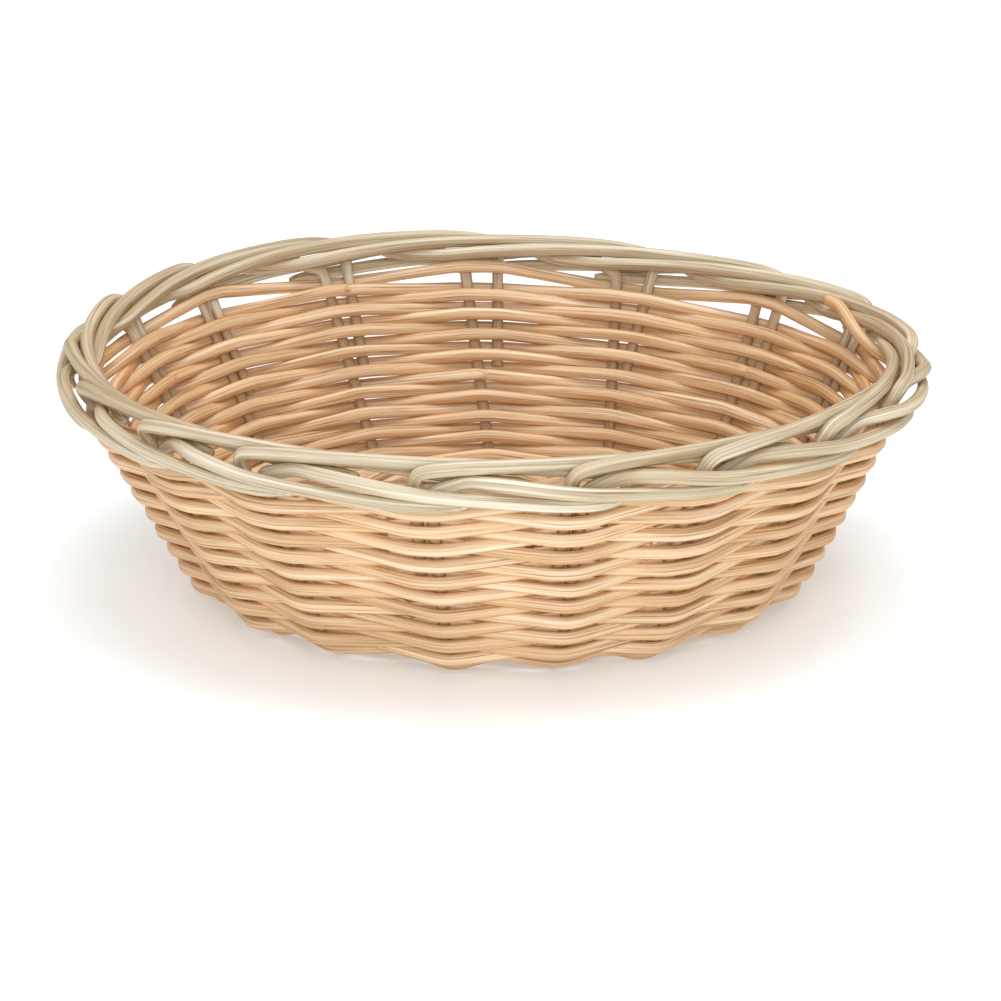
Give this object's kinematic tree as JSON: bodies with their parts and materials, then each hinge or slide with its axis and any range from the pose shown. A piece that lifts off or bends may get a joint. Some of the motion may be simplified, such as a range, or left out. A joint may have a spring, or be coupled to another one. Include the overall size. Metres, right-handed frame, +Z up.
{
  "type": "bread basket",
  "caption": "Round flared bread basket woven from thin reed, with a flat woven base, an open top and a rolled border.",
  "frame": {"origin": "the middle of the rim, projected onto the surface the basket stands on", "axes": "+Z up, -Y towards the viewer at the front"},
  "size_m": [0.2289, 0.2288, 0.0686],
  "materials": {
    "stake_reed": "pale straw reed with fine lengthwise fibres, satin",
    "base_reed": "tan reed with fine lengthwise fibres, satin",
    "side_reed": "peach-tan reed with fine lengthwise fibres, satin"
  },
  "bodies": {
    "root": {"base_rod_1": "stake_reed", "base_rod_2": "stake_reed", "base_rod_3": "stake_reed", "base_rod_4": "stake_reed", "base_rod_5": "stake_reed", "base_rod_6": "stake_reed", "base_rod_7": "stake_reed", "base_rod_8": "stake_reed", "odd_stake": "stake_reed", "bye_stake_01": "stake_reed", "bye_stake_02": "stake_reed", "bye_stake_03": "stake_reed", "bye_stake_04": "stake_reed", "bye_stake_05": "stake_reed", "bye_stake_06": "stake_reed", "bye_stake_07": "stake_reed", "bye_stake_08": "stake_reed", "bye_stake_09": "stake_reed", "bye_stake_10": "stake_reed", "bye_stake_11": "stake_reed", "bye_stake_12": "stake_reed", "bye_stake_13": "stake_reed", "bye_stake_14": "stake_reed", "bye_stake_15": "stake_reed", "bye_stake_16": "stake_reed", "bye_stake_17": "stake_reed", "cross_binding_1_1": "base_reed", "cross_binding_1_2": "base_reed", "cross_binding_2_1": "base_reed", "cross_binding_2_2": "base_reed", "cross_binding_2_3": "base_reed", "base_weaver_01": "base_reed", "base_weaver_02": "base_reed", "base_weaver_03": "base_reed", "base_weaver_04": "base_reed", "base_weaver_05": "base_reed", "base_weaver_06": "base_reed", "base_weaver_07": "base_reed", "base_weaver_08": "base_reed", "side_weaver_01": "side_reed", "side_weaver_02": "side_reed", "side_weaver_03": "side_reed", "side_weaver_04": "side_reed", "side_weaver_05": "side_reed", "side_weaver_06": "side_reed", "side_weaver_07": "side_reed", "side_weaver_08": "side_reed", "side_weaver_09": "side_reed", "side_weaver_10": "side_reed", "side_weaver_11": "side_reed", "side_weaver_12": "side_reed", "side_weaver_13": "side_reed", "side_weaver_14": "side_reed", "side_weaver_15": "side_reed", "side_weaver_16": "side_reed", "side_weaver_17": "side_reed"}
  },
  "joints": []
}
